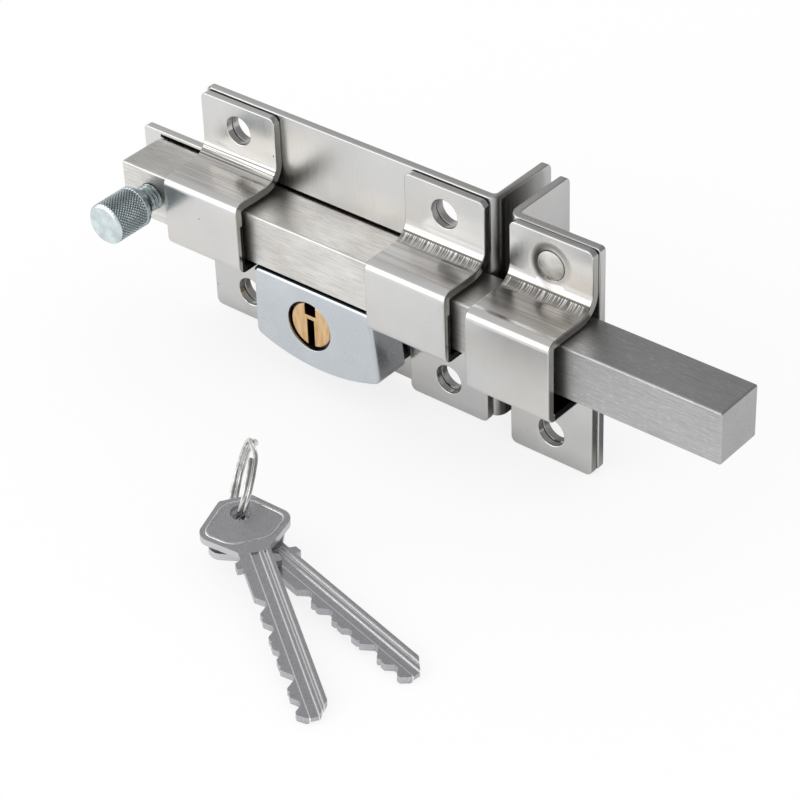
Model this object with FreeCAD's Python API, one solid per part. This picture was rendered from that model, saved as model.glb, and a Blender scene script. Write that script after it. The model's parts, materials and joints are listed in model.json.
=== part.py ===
import FreeCAD, Part
import math
import os

# A rim lock with a free sliding bar, for the inside face of a hinged door.
# Millimetres. X runs along the bar towards the frame, Y runs into the door, Z is up.
# Sizes are set out from the door's edge (X), the door's face (Y) and the bar's axis (Z).
# At the end all is moved so that the origin is the centre of the door's four fixing holes.

# The square bar, thrown as far as it goes in use
bar_side = 15.9
bar_length = 203.2
bar_tail = 19.7
bar_edge = 0.6
bar_gap_back = 0.3
bar_gap_front = 1.4
bar_gap_top = 1.0
bar_gap_bottom = 0.5

# The pressed sheet of the plates and the guides
sheet = 2.5
plate_top = 31.15
plate_below_hole = 2.55
plate_short_of_guide = 0.1
edge_flange_depth = 21.2
edge_flange_corner = 2.0
edge_bend_outside = 3.5
edge_bend_inside = 1.0
tongue_length = 26.3
tongue_height = 19.5
tongue_corner = 1.5
plate_corner = 1.2

# The three bridge-shaped guides, the third one pressed roomier than the other two
guide_width = 27.0
guide_flange_corner = 2.0
guide_root_bend = 5.0
guide_nose_bend = 3.0
guide_nose_inside = 0.3
guide_past_edge = 0.3
guide_drop = 0.9
guide_short_of_top = 0.7

# Fixing holes, one above and one below the bar in each guide
fixing_hole = 8.5
fixing_from_top = 8.8
fixing_from_bottom = 8.0

# The receiver that is screwed to the frame; loose as here, it hangs on the bar
receiver_gap = 3.2
receiver_guide_inset = 2.5
receiver_past_guide = 0.4
receiver_leaf_depth = 21.8
receiver_drop = 2.5
receiver_gap_front = 2.9
receiver_gap_top = 3.0
receiver_gap_bottom = 1.5
rivet_head = 8.3
rivet_dome = 0.9
rivet_fit = 0.05

# The cast housing round the keyhole
housing_front = 18.9
housing_depth = 11.7
housing_top_gap = 0.8
housing_gap_left = 1.5
housing_gap_right = 2.2
housing_flare_left = 0.3
housing_flare_right = 2.4
housing_bow = 4.4
housing_wall_below = 2.4
housing_corner_top = 1.5
housing_corner_bottom = 2.5
housing_front_edge = 1.2
housing_foot_inset = 1.2
face_wall = 4.4

# The lock cylinder
plug_below_top = 12.4
plug_radius = 7.0
plug_recess = 0.7
plug_opening = 15.3
plug_fit = 0.05
plug_rim = 0.4
plug_past_barrel = 2.2
keyway_width = 2.5
keyway_top = 1.8
face_notch_width = 3.9
face_notch_depth = 2.5
face_notch_floor = 3.1
barrel_radius = 11.5
barrel_drop = 3.5
barrel_past_pins = 2.85
barrel_flange = 13.0
barrel_flat = 12.3
barrel_clearance = 0.25
clip_radius = 9.0
clip_seat = 6.0
clip_thickness = 0.8
clip_gap = 0.05
clip_mouth = 9.0

# Pins, springs and the strip that closes their chambers
pin_radius = 1.5
pin_fit = 0.05
pin_shear_gap = 0.2
driver_length = 3.2
spring_wire = 0.4
spring_radius = 1.0
spring_turns = 3
pin_cover_width = 3.4
pin_cover_thickness = 0.8
pin_cover_gap = 0.05
pin_cover_inset = 1.4

# The cam on the plug and the dog that it lifts into the bar
cam_front_gap = 0.5
cam_thickness = 5.4
cam_radius = 8.2
lobe_radius = 3.0
cavity_gap = 0.4
dog_width = 8.0
dog_thickness = 6.0
dog_gap = 0.15
dog_foot_gap = 0.3
dog_bar_gap = 0.4
dog_front_gap = 0.2
notch_slack = 2.0
notch_depth = 3.3
bar_travel = 82.0

# The pull knob on its threaded stud
knob_from_bar_end = 10.6
stud_radius = 4.0
stud_root = 3.4
stud_pitch = 1.25
stud_gap = 4.6
stud_hole_depth = 10.0
stud_in_knob = 8.4
stud_fit = 0.05
collar_radius = 4.8
collar_length = 1.3
knob_radius = 6.2
knob_length = 13.2
knob_chamfer = 0.8

# Small machine screws that hold the housing from behind
screw_radius = 1.5
screw_head_radius = 3.0
screw_depth = 10.0
screw_socket = 1.1
screw_socket_depth = 1.1
screw_left_from_plug = 15.6
screw_right_from_plug = 18.0
screw_from_side = 4.1
screw_fit = 0.05

# The two keys, alike but for the way they lie
key_thickness = 2.2
key_blade = 8.4
key_blade_end = 70.8
key_head_back = 5.6
key_head_back_half = 4.4
key_head_wide_at = 4.6
key_head_half = 13.2
key_head_round = 3.4
key_back_round = 1.0
key_shoulder = 13.4
key_shoulder_round = 1.0
key_hole = 5.6
key_groove = 0.45
key_groove_start = 14.4
key_groove_wide = 2.4
key_groove_wide_at = -0.1
key_groove_narrow = 0.8
key_groove_narrow_at = 2.6
key_tip_low_back = 1.6
key_tip_low_rise = 2.0
key_tip_high_back = 4.2
key_tip_high_drop = 3.2
key_tip_round = 0.5
key_ear_near = 16.0
key_ear_ramp = 0.8
key_ear_far = 19.0
key_ear_out = 1.7
key_ear_root_round = 0.5
key_ear_near_round = 0.4
key_ear_far_round = 0.3
key_cut_start = 32.2
key_cut_spacing = 8.4
key_unit_depth = 0.2
key_code = [12, 10, 6, 13, 9]
key_cut_floor = 1.2
key_cut_slope = 0.95
key_nick_depth = 0.5

# The split ring, and how the bunch lies on the surface below the lock
ring_radius = 11.8
ring_wire = 0.6
ring_turns = 2
ring_turn_spacing = 1.65
ring_lean = 18.0
ring_foot_x = -29.0
ring_foot_y = -77.4
ring_heading = -49.5
key_one_heading = -34.0
key_one_slope = 8.2
key_two_heading = -10.0
key_two_slope = 5.2
rest_gap = 0.05

# Heights and depths that follow from the sizes above
bar_half = bar_side / 2
bar_back = -(sheet + bar_gap_back)
bar_front = bar_back - bar_side
housing_back = housing_depth - housing_front
housing_top = -(bar_half + housing_top_gap)
cavity_front = face_wall - housing_front
cavity_radius = cam_radius + lobe_radius + cavity_gap
housing_belly = plug_below_top + cavity_radius + housing_wall_below
housing_side = housing_belly - housing_bow
plug_z = housing_top - plug_below_top
plug_face = plug_recess - housing_front
barrel_z = plug_z - barrel_drop
plate_bottom = barrel_z - barrel_radius - barrel_clearance - plate_below_hole
plate_height = plate_top - plate_bottom
guide_flange_top = plate_top - guide_short_of_top
guide_flange_bottom = plate_bottom - guide_drop
fixing_above = plate_top - fixing_from_top
fixing_below = plate_bottom + fixing_from_bottom

# Places along the bar, from the door's edge leftwards, then the receiver
guide_middle_edge = guide_past_edge - guide_width
housing_top_right = guide_middle_edge - housing_gap_right
screw_right_x = housing_top_right - screw_from_side
plug_x = screw_right_x - screw_right_from_plug
screw_left_x = plug_x - screw_left_from_plug
housing_top_left = screw_left_x - screw_from_side
guide_left_edge = housing_top_left - housing_gap_left - guide_width
plate_left = guide_left_edge + plate_short_of_guide
bar_left = guide_left_edge - bar_tail
bar_reach = bar_left + bar_length
knob_x = bar_left + knob_from_bar_end
receiver_left = sheet + receiver_gap
receiver_guide_edge = receiver_left + receiver_guide_inset
receiver_right = receiver_guide_edge + guide_width + receiver_past_guide
fixing_inset = guide_width / 2

# Inside the housing and the cylinder
dog_foot = cam_radius + dog_foot_gap
dog_head = -bar_half - dog_bar_gap
dog_front = cavity_front + dog_front_gap
dog_middle = dog_front + dog_thickness / 2
shear_key_side = plug_radius - pin_shear_gap
shear_driver_side = plug_radius + pin_shear_gap
pin_cover_top = barrel_z - barrel_radius + pin_cover_inset
driver_top = plug_z - shear_driver_side
blade_low = key_blade - keyway_top
cuts_from_ears = key_cut_start - key_ear_far
pin_rows = [plug_face + cuts_from_ears + key_cut_spacing * row for row in range(len(key_code))]
pin_cover_front = pin_rows[0] - pin_radius - pin_fit
pin_cover_back = pin_rows[-1] + pin_radius + pin_fit
barrel_tail = pin_cover_back + barrel_past_pins
plug_tail = barrel_tail + plug_past_barrel
clip_front = barrel_tail + clip_gap

# What the bunch of keys lies on, and the centre of the door's four fixing holes
surface_z = guide_flange_bottom - receiver_drop
pattern_x = (guide_left_edge + guide_middle_edge) / 2 + fixing_inset
pattern_z = (fixing_above + fixing_below) / 2


# Vectors and simple solids

def point(x, y, z):
    return FreeCAD.Vector(x, y, z)


def block(x_low, x_high, y_low, y_high, z_low, z_high):
    return Part.makeBox(x_high - x_low, y_high - y_low, z_high - z_low, point(x_low, y_low, z_low))


def rod(radius, x, z, y_low, y_high):
    """A round bar along Y."""
    return Part.makeCylinder(radius, y_high - y_low, point(x, y_low, z), point(0, 1, 0))


def post(radius, x, y, z_low, z_high):
    """A round bar along Z."""
    return Part.makeCylinder(radius, z_high - z_low, point(x, y, z_low), point(0, 0, 1))


def rounded_outline(corners):
    """A closed wire through corners given as (point, radius), each rounded by its own radius."""
    pieces = []
    joints = []
    count = len(corners)
    for index in range(count):
        corner, radius = corners[index]
        before = (corners[index - 1][0] - corner).normalize()
        after = (corners[(index + 1) % count][0] - corner).normalize()
        if radius == 0:
            joints.append((corner, corner, None))
            continue
        half = before.getAngle(after) / 2
        reach = radius / math.tan(half)
        bisector = (before + after).normalize()
        middle = corner + bisector * (radius / math.sin(half) - radius)
        joints.append((corner + before * reach, corner + after * reach, middle))
    for index in range(count):
        start, end, middle = joints[index]
        if middle is not None:
            pieces.append(Part.Arc(start, middle, end).toShape())
        following = joints[(index + 1) % count][0]
        if end.distanceToPoint(following) > 1e-6:
            pieces.append(Part.makeLine(end, following))
    return Part.Wire(pieces)


def prism(corners, direction):
    """A solid swept straight from a rounded outline."""
    return Part.Face(rounded_outline(corners)).extrude(direction)


def edges_along(shape, direction, keep):
    """The straight edges of a shape that run along a direction and whose middle passes a test."""
    found = []
    for edge in shape.Edges:
        if edge.Curve.TypeId != "Part::GeomLine":
            continue
        run = (edge.Vertexes[-1].Point - edge.Vertexes[0].Point).normalize()
        if abs(abs(run.dot(direction)) - 1) < 1e-6 and keep(edge.CenterOfMass):
            found.append(edge)
    return found


def fixing_holes(x):
    """The pair of fixing holes of one guide, as cutters through flange and plate."""
    cutters = []
    for z in (fixing_above, fixing_below):
        cutters.append(rod(fixing_hole / 2, x, z, -3 * sheet, sheet))
    return cutters


# Plates and guides

def guide(left_edge, flange_top, gap_front, gap_top, gap_bottom):
    """One bridge: a strip bent over the bar, with a flange above and a flange below."""
    front = -2 * sheet
    inner_front = bar_front - gap_front
    inner_top = bar_half + gap_top
    inner_bottom = -(bar_half + gap_bottom)
    nose = inner_front - sheet
    outer_top = inner_top + sheet
    outer_bottom = inner_bottom - sheet
    root_back = guide_root_bend + sheet
    side = [
        (point(left_edge, front, flange_top), 0),
        (point(left_edge, front, outer_top), guide_root_bend),
        (point(left_edge, nose, outer_top), guide_nose_bend),
        (point(left_edge, nose, outer_bottom), guide_nose_bend),
        (point(left_edge, front, outer_bottom), guide_root_bend),
        (point(left_edge, front, guide_flange_bottom), 0),
        (point(left_edge, -sheet, guide_flange_bottom), 0),
        (point(left_edge, -sheet, inner_bottom), root_back),
        (point(left_edge, inner_front, inner_bottom), guide_nose_inside),
        (point(left_edge, inner_front, inner_top), guide_nose_inside),
        (point(left_edge, -sheet, inner_top), root_back),
        (point(left_edge, -sheet, flange_top), 0),
    ]
    strip = prism(side, point(guide_width, 0, 0))
    ends = edges_along(strip, point(0, 1, 0), lambda c: c.z > fixing_above or c.z < fixing_below)
    strip = strip.makeFillet(guide_flange_corner, ends)
    return strip.cut(fixing_holes(left_edge + fixing_inset))


def door_guide(left_edge):
    """A guide on the main plate, close round the bar."""
    return guide(left_edge, guide_flange_top, bar_gap_front, bar_gap_top, bar_gap_bottom)


def receiver_guide():
    """The receiver's guide, level with its plate at the top and with more room for the bar."""
    return guide(receiver_guide_edge, plate_top,
                 receiver_gap_front, receiver_gap_top, receiver_gap_bottom)


def back_plate():
    """The main plate with its tongue under the bar's tail and its flange round the door's edge."""
    plan = [
        (point(plate_left, -sheet, plate_bottom), 0),
        (point(sheet, -sheet, plate_bottom), edge_bend_outside),
        (point(sheet, edge_flange_depth, plate_bottom), 0),
        (point(0, edge_flange_depth, plate_bottom), 0),
        (point(0, 0, plate_bottom), edge_bend_inside),
        (point(plate_left, 0, plate_bottom), 0),
    ]
    plate = prism(plan, point(0, 0, plate_height))
    flange_ends = edges_along(plate, point(1, 0, 0), lambda c: c.y > sheet and c.x > 0)
    plate = plate.makeFillet(edge_flange_corner, flange_ends)
    left_ends = edges_along(plate, point(0, 1, 0), lambda c: c.x < plate_left + sheet)
    plate = plate.makeFillet(plate_corner, left_ends)
    half = tongue_height / 2
    tongue = block(plate_left - tongue_length, plate_left + sheet, -sheet, 0, -half, half)
    tongue_ends = edges_along(tongue, point(0, 1, 0), lambda c: c.x < plate_left)
    plate = plate.fuse(tongue.makeFillet(tongue_corner, tongue_ends)).removeSplitter()
    cutters = fixing_holes(guide_left_edge + fixing_inset)
    cutters += fixing_holes(guide_middle_edge + fixing_inset)
    cutters.append(rod(barrel_radius + barrel_clearance, plug_x, barrel_z, -2 * sheet, sheet))
    for x in (screw_left_x, screw_right_x):
        cutters.append(screw_body(x, screw_fit))
    return plate.cut(cutters)


def receiver_plate():
    """The frame's plate, with a leaf that turns back along the frame's edge."""
    plan = [
        (point(receiver_left, receiver_leaf_depth, plate_bottom), 0),
        (point(receiver_left, -sheet, plate_bottom), edge_bend_outside),
        (point(receiver_right, -sheet, plate_bottom), 0),
        (point(receiver_right, 0, plate_bottom), 0),
        (point(receiver_left + sheet, 0, plate_bottom), edge_bend_inside),
        (point(receiver_left + sheet, receiver_leaf_depth, plate_bottom), 0),
    ]
    plate = prism(plan, point(0, 0, plate_height))
    leaf_ends = edges_along(plate, point(1, 0, 0), lambda c: c.y > sheet)
    plate = plate.makeFillet(edge_flange_corner, leaf_ends)
    right_ends = edges_along(plate, point(0, 1, 0), lambda c: c.x > receiver_right - sheet)
    plate = plate.makeFillet(plate_corner, right_ends)
    return plate.cut(fixing_holes(receiver_guide_edge + fixing_inset))


def receiver_rivet():
    """The domed rivet that fills the receiver's upper hole."""
    x = receiver_guide_edge + fixing_inset
    front = -2 * sheet
    dome_radius = (rivet_head ** 2 / 4 + rivet_dome ** 2) / (2 * rivet_dome)
    shank = rod(fixing_hole / 2 - rivet_fit, x, fixing_above, front, 0)
    ball = Part.makeSphere(dome_radius, point(x, front - rivet_dome + dome_radius, fixing_above))
    cap = ball.common(rod(rivet_head / 2, x, fixing_above, front - rivet_dome, front))
    return shank.fuse(cap).removeSplitter()


# The sliding bar, its stud and its knob

def bolt_bar():
    """The square bar, tapped for the stud and pocketed underneath for the dog."""
    bar = block(bar_left, bar_reach, bar_front, bar_back, -bar_half, bar_half)
    bar = bar.makeFillet(bar_edge, bar.Edges)
    half = dog_width / 2 + notch_slack / 2
    deep = dog_thickness / 2 + notch_slack / 2
    floor = notch_depth - bar_half
    cutters = [rod(stud_radius + stud_fit, knob_x, 0, bar_front - 1, bar_front + stud_hole_depth)]
    for x in (plug_x, plug_x + bar_travel):
        cutters.append(block(x - half, x + half, dog_middle - deep, dog_middle + deep, -bar_side, floor))
    return bar.cut(cutters)


def knob_stud():
    """The stud: plain where it is screwed in, with ring-shaped thread crests where it shows."""
    inner_end = bar_front + stud_hole_depth
    knob_face = bar_front - stud_gap
    outer_end = knob_face - stud_in_knob
    turns = int(stud_gap / stud_pitch)
    start = (stud_gap - turns * stud_pitch) / 2
    crest = knob_x + stud_radius
    outline = [point(knob_x, inner_end, 0), point(crest, inner_end, 0)]
    for turn in range(turns):
        y = bar_front - start - turn * stud_pitch
        outline.append(point(crest, y, 0))
        outline.append(point(knob_x + stud_root, y - stud_pitch / 2, 0))
    outline.append(point(crest, knob_face + start, 0))
    outline.append(point(crest, outer_end, 0))
    outline.append(point(knob_x, outer_end, 0))
    face = Part.Face(Part.makePolygon(outline + outline[:1]))
    return face.revolve(point(knob_x, 0, 0), point(0, 1, 0), 360)


def pull_knob():
    """The round knob with its narrow collar towards the bar."""
    collar_face = bar_front - stud_gap
    barrel_face = collar_face - collar_length
    end = barrel_face - knob_length
    barrel = rod(knob_radius, knob_x, 0, end, barrel_face)
    barrel = barrel.makeChamfer(knob_chamfer, barrel.Edges)
    collar = rod(collar_radius, knob_x, 0, barrel_face, collar_face)
    bore = rod(stud_radius + stud_fit, knob_x, 0, collar_face - stud_in_knob, collar_face)
    return barrel.fuse(collar).removeSplitter().cut(bore)


# The housing, its screws, the cam and the dog

def housing_outline(y):
    """The housing's front view: straight top, sides that open downwards, bowed lower edge."""
    left_low = point(housing_top_left - housing_flare_left, y, housing_top - housing_side)
    right_low = point(housing_top_right + housing_flare_right, y, housing_top - housing_side)
    belly = point((left_low.x + right_low.x) / 2, y, housing_top - housing_belly)
    left_high = point(housing_top_left, y, housing_top)
    right_high = point(housing_top_right, y, housing_top)
    return Part.Wire([
        Part.makeLine(left_low, left_high),
        Part.makeLine(left_high, right_high),
        Part.makeLine(right_high, right_low),
        Part.Arc(right_low, belly, left_low).toShape(),
    ])


def cylinder_housing():
    """The cast housing: a thick face, a foot against the plate, room for cam and barrel."""
    depth = point(0, housing_depth, 0)
    shell = Part.Face(housing_outline(-housing_front)).extrude(depth)
    top_corners = edges_along(shell, point(0, 1, 0), lambda c: c.z > housing_top - 1)
    shell = shell.makeFillet(housing_corner_top, top_corners)
    low_corners = edges_along(shell, point(0, 1, 0), lambda c: c.z < housing_top - housing_side + 1)
    low_corners = [edge for edge in low_corners if edge.Length > housing_depth - 1]
    shell = shell.makeFillet(housing_corner_bottom, low_corners)
    rim = [edge for edge in shell.Edges if edge.BoundBox.YMax < 0.1 - housing_front]
    shell = shell.makeFillet(housing_front_edge, rim)
    foot_face = Part.Face(housing_outline(housing_back)).makeOffset2D(-housing_foot_inset)
    foot = foot_face.extrude(point(0, -sheet - housing_back, 0))
    shell = shell.fuse(foot)
    flat = barrel_flat + barrel_clearance
    seat = rod(barrel_flange + barrel_clearance, plug_x, barrel_z, housing_back, 0)
    seat = seat.common(block(plug_x - flat, plug_x + flat, housing_back, 0, -plate_height, 0))
    side = dog_width / 2 + dog_gap
    cutters = [
        rod(cavity_radius, plug_x, plug_z, cavity_front, 0),
        rod(plug_opening / 2, plug_x, plug_z, -housing_front - 1, 0),
        seat,
        block(plug_x - side, plug_x + side, dog_front - dog_gap,
              dog_front + dog_thickness + dog_gap, plug_z, 0),
    ]
    for x in (screw_left_x, screw_right_x):
        cutters.append(screw_body(x, screw_fit))
    return shell.cut(cutters)


def screw_body(x, gap):
    """One countersunk screw along Y, head flush with the door side, grown all round by a gap."""
    cone = screw_head_radius - screw_radius
    shank = rod(screw_radius + gap, x, plug_z, -screw_depth - gap, 0)
    seat = point(x, 0, plug_z)
    head = Part.makeCone(screw_head_radius + gap, screw_radius + gap, cone, seat, point(0, -1, 0))
    return shank.fuse(head)


def housing_screws():
    """Two countersunk socket screws that pull the housing against the plate."""
    screws = []
    for x in (screw_left_x, screw_right_x):
        screw = screw_body(x, 0)
        corners = []
        for index in range(6):
            angle = math.radians(60 * index)
            corners.append((point(x + screw_socket * math.cos(angle), -screw_socket_depth,
                                  plug_z + screw_socket * math.sin(angle)), 0))
        socket = prism(corners, point(0, 2 * screw_socket_depth, 0))
        screws.append(screw.cut(socket).removeSplitter())
    return Part.makeCompound(screws)


def plug_cam():
    """The collar on the plug with one round lobe, which points left while the bar is free."""
    front = cavity_front + cam_front_gap
    back = front + cam_thickness
    ring = rod(cam_radius, plug_x, plug_z, front, back)
    lobe = rod(lobe_radius, plug_x - cam_radius, plug_z, front, back)
    return ring.fuse(lobe).removeSplitter().cut(rod(plug_radius, plug_x, plug_z, front, back))


def locking_dog():
    """The steel block that stands on the cam and rises into the bar's pocket."""
    side = dog_width / 2
    return block(plug_x - side, plug_x + side, dog_front, dog_front + dog_thickness,
                 plug_z + dog_foot, dog_head)


# The cylinder

def keyhole_cuts():
    """The keyway along the whole plug, and the notch above it in the plug's face."""
    half = keyway_width / 2
    notch = face_notch_width / 2
    keyway = block(plug_x - half, plug_x + half, plug_face - 1, plug_tail + 1,
                   plug_z - plug_radius - 1, plug_z + keyway_top + pin_fit)
    slot = block(plug_x - notch, plug_x + notch, plug_face - 1, plug_face + face_notch_depth,
                 plug_z + face_notch_floor, plug_z + plug_radius + 1)
    return [keyway, slot]


def cylinder_plug():
    """The brass plug, turned by the key."""
    body = rod(plug_radius, plug_x, plug_z, plug_face, plug_tail)
    rim = [edge for edge in body.Edges if edge.BoundBox.YMax < plug_face + 0.1]
    body = body.makeChamfer(plug_rim, rim)
    groove_back = clip_front + clip_thickness + clip_gap
    groove = rod(plug_radius + 1, plug_x, plug_z, clip_front - clip_gap, groove_back)
    groove = groove.cut(rod(clip_seat, plug_x, plug_z, barrel_tail - 1, plug_tail))
    cutters = keyhole_cuts() + [groove]
    for y in pin_rows:
        cutters.append(post(pin_radius + pin_fit, plug_x, y, plug_z - plug_radius - 1, plug_z))
    return body.cut(cutters)


def plug_clip():
    """The open spring clip that holds the plug in the barrel."""
    back = clip_front + clip_thickness
    ring = rod(clip_radius, plug_x, plug_z, clip_front, back)
    ring = ring.cut(rod(clip_seat, plug_x, plug_z, clip_front, back))
    half = clip_mouth / 2
    mouth = block(plug_x - half, plug_x + half, clip_front, back, plug_z - clip_radius, plug_z)
    return ring.cut(mouth)


def key_pins():
    """The lower pins in the plug, as high as the right key lets them stand."""
    pins = []
    for y, units in zip(pin_rows, key_code):
        top = plug_z - blade_low + units * key_unit_depth - pin_fit
        pins.append(post(pin_radius, plug_x, y, plug_z - shear_key_side, top))
    return Part.makeCompound(pins)


def driver_pins():
    """The spring-loaded pins in the barrel, just clear of the plug."""
    pins = []
    for y in pin_rows:
        pins.append(post(pin_radius, plug_x, y, driver_top - driver_length, driver_top))
    return Part.makeCompound(pins)


def cylinder_barrel():
    """The round barrel through the door, with a flange in front and its pins underneath."""
    flange = rod(barrel_flange, plug_x, barrel_z, housing_back, -sheet)
    flange = flange.common(block(plug_x - barrel_flat, plug_x + barrel_flat, housing_back, -sheet,
                                 -plate_height, 0))
    body = rod(barrel_radius, plug_x, barrel_z, housing_back, barrel_tail).fuse(flange)
    half = pin_cover_width / 2 + pin_cover_gap
    cutters = [
        rod(plug_radius + plug_fit, plug_x, plug_z, housing_back - 1, barrel_tail + 1),
        block(plug_x - half, plug_x + half, pin_cover_front - pin_cover_gap,
              pin_cover_back + pin_cover_gap, barrel_z - 2 * barrel_radius, pin_cover_top),
    ]
    for y in pin_rows:
        cutters.append(post(pin_radius + pin_fit, plug_x, y, pin_cover_top - 1, plug_z))
    return body.cut(cutters).removeSplitter()


def pin_cover():
    """The strip pressed into the barrel to close the pin chambers."""
    half = pin_cover_width / 2
    top = pin_cover_top - pin_cover_gap
    return block(plug_x - half, plug_x + half, pin_cover_front, pin_cover_back,
                 top - pin_cover_thickness, top)


# Coils

def bent_piece(start, corner, end):
    """The round arc that leaves start towards corner and comes into end from corner."""
    middle = (start + end) * 0.5
    half_chord = start.distanceToPoint(end) / 2
    lean = math.acos(half_chord / start.distanceToPoint(corner))
    rise = half_chord * math.tan(lean / 2)
    return Part.Arc(start, middle + (corner - middle).normalize() * rise, end).toShape()


def coil(radius, wire, pitch, turns):
    """A coil round the Z axis from z = 0, of two tangent arcs to each quarter turn, as one tube."""
    quarter = math.pi / 2
    stops = []
    for index in range(4 * turns + 1):
        angle = index * quarter
        place = point(radius * math.cos(angle), radius * math.sin(angle), pitch * index / 4)
        heading = point(-radius * math.sin(angle), radius * math.cos(angle), pitch / (2 * math.pi))
        stops.append((place, heading.normalize()))
    arcs = []
    for (start, leave), (end, arrive) in zip(stops[:-1], stops[1:]):
        span = end - start
        both = leave + arrive
        curve = 2 * (1 - leave.dot(arrive))
        reach = (math.sqrt(span.dot(both) ** 2 + curve * span.dot(span)) - span.dot(both)) / curve
        first = start + leave * reach
        second = end - arrive * reach
        middle = (first + second) * 0.5
        arcs.append(bent_piece(start, first, middle))
        arcs.append(bent_piece(middle, second, end))
    section = Part.Wire(Part.makeCircle(wire, stops[0][0], stops[0][1]))
    tube = Part.Wire(arcs).makePipeShell([section], True, False)
    print("coil of radius", radius, "turns", turns, "gap between turns", round(pitch - 2 * wire, 3))
    return tube


def pin_springs():
    """Five small springs between the driver pins and the strip."""
    low = pin_cover_top + spring_wire / 2
    high = driver_top - driver_length - spring_wire / 2
    pitch = (high - low - 2 * pin_cover_gap) / spring_turns
    springs = []
    for y in pin_rows:
        spring = coil(spring_radius, spring_wire / 2, pitch, spring_turns)
        spring.translate(point(plug_x, y, low + pin_cover_gap))
        springs.append(spring)
    return Part.makeCompound(springs)


# The keys and their ring

def key_blank():
    """A key lying flat, hole at the origin, tip towards +X, cuts on the -Y edge."""
    half = key_blade / 2
    ear = half + key_ear_out
    ear_ramp_end = key_ear_near + key_ear_ramp
    outline = [
        (point(-key_head_back, key_head_back_half, 0), key_back_round),
        (point(-key_head_back, -key_head_back_half, 0), key_back_round),
        (point(key_head_wide_at, -key_head_half, 0), key_head_round),
        (point(key_shoulder, -half, 0), key_shoulder_round),
        (point(key_ear_near, -half, 0), key_ear_root_round),
        (point(ear_ramp_end, -ear, 0), key_ear_near_round),
        (point(key_ear_far, -ear, 0), key_ear_far_round),
        (point(key_ear_far, -half, 0), 0),
        (point(key_blade_end - key_tip_low_back, -half, 0), 0),
        (point(key_blade_end, -half + key_tip_low_rise, 0), key_tip_round),
        (point(key_blade_end, half - key_tip_high_drop, 0), key_tip_round),
        (point(key_blade_end - key_tip_high_back, half, 0), 0),
        (point(key_ear_far, half, 0), 0),
        (point(key_ear_far, ear, 0), key_ear_far_round),
        (point(ear_ramp_end, ear, 0), key_ear_near_round),
        (point(key_ear_near, half, 0), key_ear_root_round),
        (point(key_shoulder, half, 0), key_shoulder_round),
        (point(key_head_wide_at, key_head_half, 0), key_head_round),
    ]
    return prism(outline, point(0, 0, key_thickness))


def key_cuts():
    """The cuts for the pins, each with sloping sides, and a small nick in each land."""
    edge = -key_blade / 2
    through = point(0, 0, key_thickness)
    cutters = []
    for index, units in enumerate(key_code):
        depth = units * key_unit_depth
        middle = key_cut_start + index * key_cut_spacing
        floor = key_cut_floor / 2
        mouth = floor + 2 * depth * key_cut_slope
        cut = [
            (point(middle - mouth, edge - depth, 0), 0),
            (point(middle + mouth, edge - depth, 0), 0),
            (point(middle + floor, edge + depth, 0), 0),
            (point(middle - floor, edge + depth, 0), 0),
        ]
        cutters.append(prism(cut, through))
        land = middle + key_cut_spacing / 2
        nick = [
            (point(land - 2 * key_nick_depth, edge - key_nick_depth, 0), 0),
            (point(land + 2 * key_nick_depth, edge - key_nick_depth, 0), 0),
            (point(land, edge + key_nick_depth, 0), 0),
        ]
        cutters.append(prism(nick, through))
    return cutters


def key():
    """A finished key: hole, cuts, and a wide and a narrow groove along each face."""
    blank = key_blank()
    cutters = key_cuts()
    cutters.append(post(key_hole / 2, 0, 0, 0, key_thickness))
    for width, across in ((key_groove_wide, key_groove_wide_at),
                          (key_groove_narrow, key_groove_narrow_at)):
        for floor in (-key_groove, key_thickness - key_groove):
            cutters.append(block(key_groove_start, key_blade_end,
                                 across - width / 2, across + width / 2,
                                 floor, floor + 2 * key_groove))
    return blank.cut(cutters)


def ring_centre():
    """Where the ring's centre is, with its lowest wire on the surface."""
    lean = math.radians(ring_lean)
    spread = ring_turn_spacing / 2
    height = ring_radius * math.cos(lean) + spread * math.sin(lean) + ring_wire + rest_gap
    side = ring_side()
    shift = ring_radius * math.sin(lean)
    return point(ring_foot_x + side.x * shift, ring_foot_y + side.y * shift, surface_z + height)


def ring_along():
    heading = math.radians(ring_heading)
    return point(math.cos(heading), math.sin(heading), 0)


def ring_side():
    heading = math.radians(ring_heading + 90)
    return point(math.cos(heading), math.sin(heading), 0)


def ring_up():
    lean = math.radians(ring_lean)
    side = ring_side()
    return point(side.x * math.sin(lean), side.y * math.sin(lean), math.cos(lean))


def on_ring(height):
    """The point of the ring's middle line at a height, on the side nearer the front."""
    centre = ring_centre()
    up = ring_up()
    drop = (centre.z - height) / (ring_radius * up.z)
    return centre - up * (ring_radius * drop) + ring_along() * (ring_radius * math.sqrt(1 - drop ** 2))


def key_ring():
    """The split ring of two turns, standing on its edge through both keys."""
    ring = coil(ring_radius, ring_wire, ring_turn_spacing, ring_turns)
    up = ring_up()
    along = ring_along()
    axis = up.cross(along)
    matrix = FreeCAD.Matrix(up.x, along.x, axis.x, 0,
                            up.y, along.y, axis.y, 0,
                            up.z, along.z, axis.z, 0,
                            0, 0, 0, 1)
    placement = FreeCAD.Placement(matrix)
    placement.Base = ring_centre() - axis * (ring_turns * ring_turn_spacing / 2)
    ring.Placement = placement
    return ring


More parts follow.
